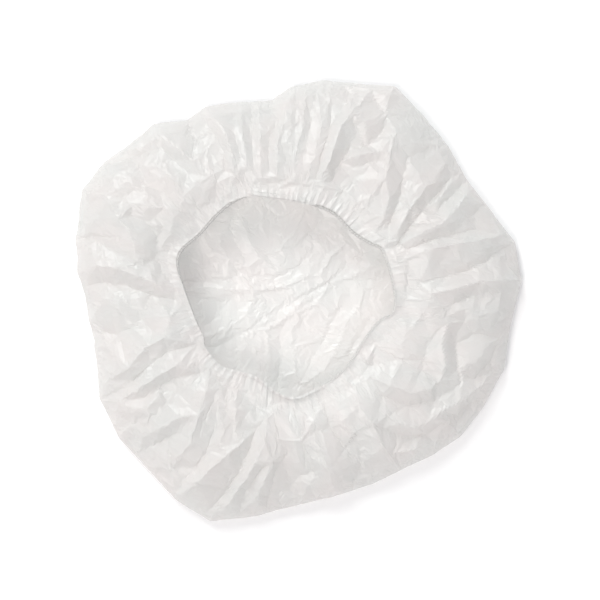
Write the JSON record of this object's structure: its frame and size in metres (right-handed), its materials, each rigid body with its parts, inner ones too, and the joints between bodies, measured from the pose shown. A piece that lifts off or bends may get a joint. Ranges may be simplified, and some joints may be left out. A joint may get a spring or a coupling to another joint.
{
  "type": "shower cap",
  "caption": "Disposable shower cap of thin white film with an elastic-gathered mouth, lying on its flattened crown with the mouth up; keeps hair dry.",
  "frame": {"origin": "on the table, under the middle of the lying cap, on the flattened underside of the crown", "axes": "+Z up through the mouth, +X to the right and +Y up in the view from above"},
  "size_m": [0.2892, 0.2862, 0.0447],
  "materials": {
    "film": "thin frosted white polyethylene film, crinkled, with a soft sheen",
    "elastic": "narrow white elastic, ruched and matt"
  },
  "bodies": {
    "root": {"film_cap": "film", "elastic_band": "elastic"}
  },
  "joints": []
}
